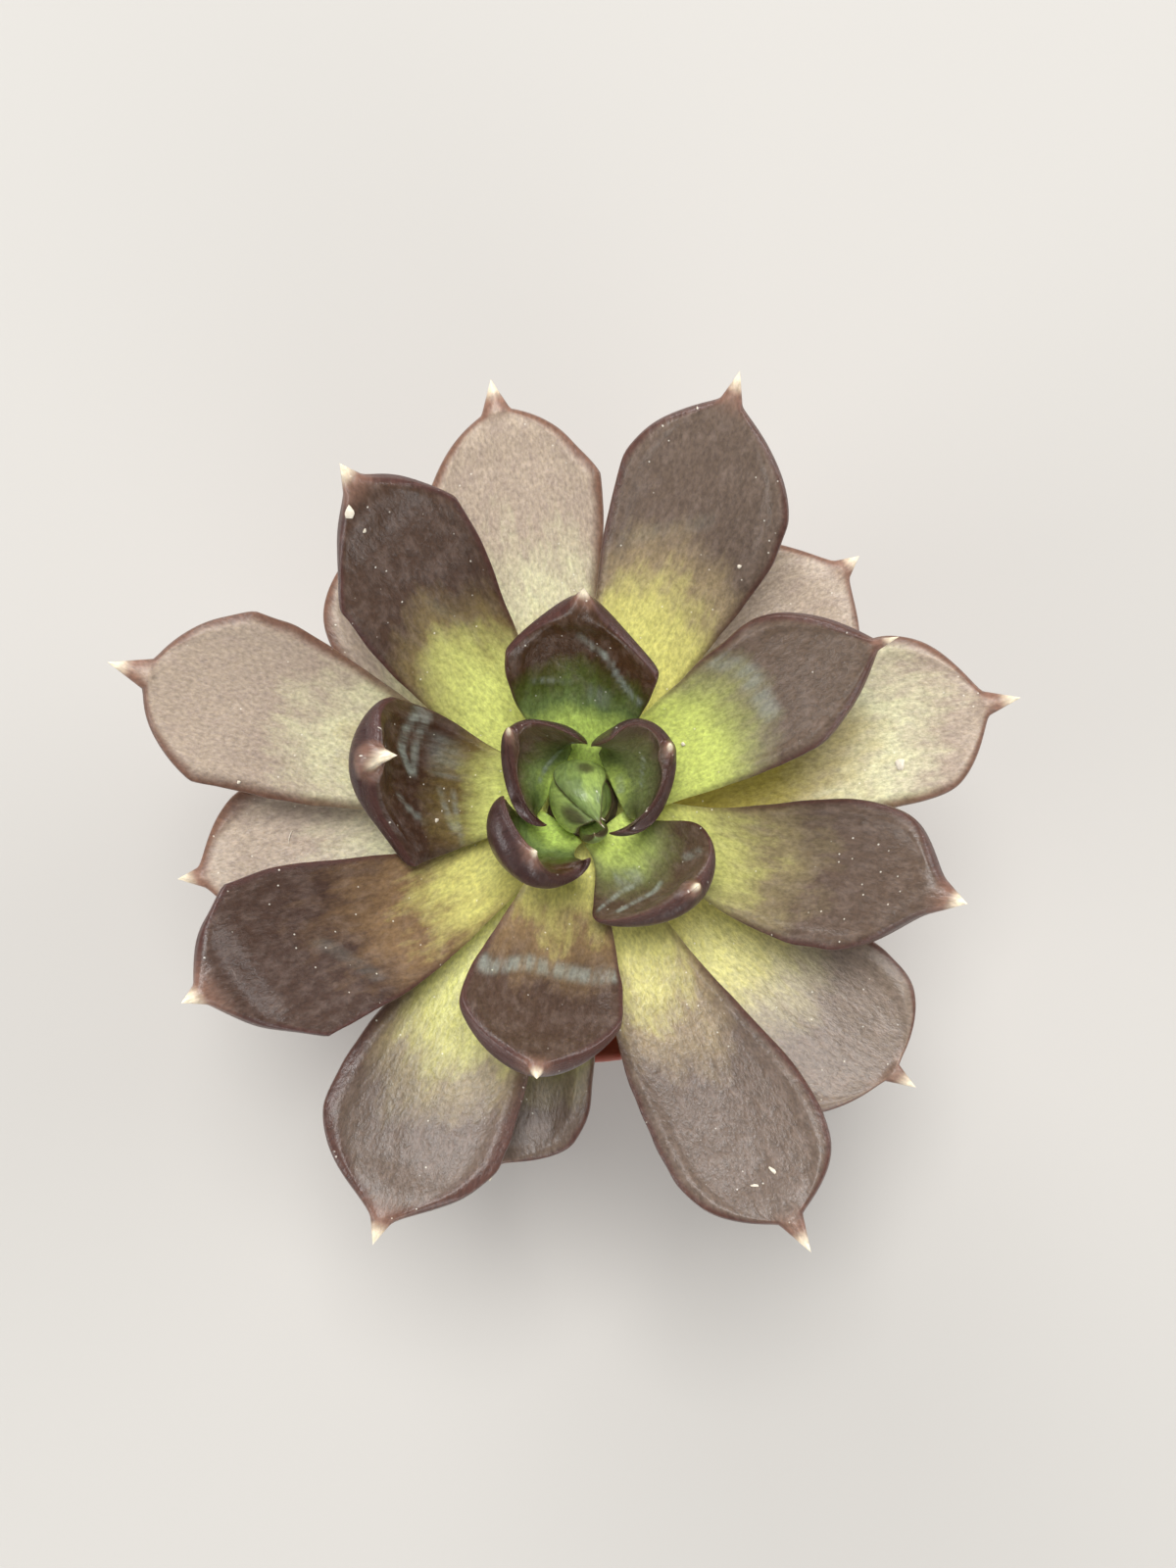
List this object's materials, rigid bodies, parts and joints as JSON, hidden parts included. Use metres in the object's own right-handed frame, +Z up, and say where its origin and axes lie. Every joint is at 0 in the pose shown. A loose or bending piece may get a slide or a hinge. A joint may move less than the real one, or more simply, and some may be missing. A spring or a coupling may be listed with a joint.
{
  "type": "potted black prince echeveria",
  "caption": "Small succulent: a dark open rosette of fleshy pointed leaves on a short stem, rooted in soil in a round plastic nursery pot.",
  "frame": {"origin": "centre of the pot's flat underside", "axes": "+Z up out of the pot; +X and +Y are the picture's right and up when it is seen from above"},
  "size_m": [0.0933, 0.0895, 0.0871],
  "materials": {
    "pot": "satin moulded plastic, terracotta red",
    "soil": "dark crumbly potting mix",
    "stem": "dull corky skin with leaf scars",
    "heart": "glossy green bud leaves",
    "young_leaf": "waxy, dark maroon brown going green at the root",
    "old_leaf": "dusty mauve grey going olive yellow at the root"
  },
  "bodies": {
    "root": {"pot": "pot", "soil": "soil", "stem": "stem", "heart": "heart", "leaf_01": "young_leaf", "leaf_02": "young_leaf", "leaf_03": "young_leaf", "leaf_04": "young_leaf", "leaf_05": "young_leaf", "leaf_06": "young_leaf", "leaf_07": "young_leaf", "leaf_08": "young_leaf", "leaf_09": "young_leaf", "leaf_10": "young_leaf", "leaf_11": "young_leaf", "leaf_12": "young_leaf", "leaf_13": "old_leaf", "leaf_14": "old_leaf", "leaf_15": "old_leaf", "leaf_16": "old_leaf", "leaf_17": "old_leaf", "leaf_18": "old_leaf", "leaf_19": "old_leaf", "leaf_20": "old_leaf", "leaf_21": "old_leaf", "leaf_22": "old_leaf"}
  },
  "joints": []
}
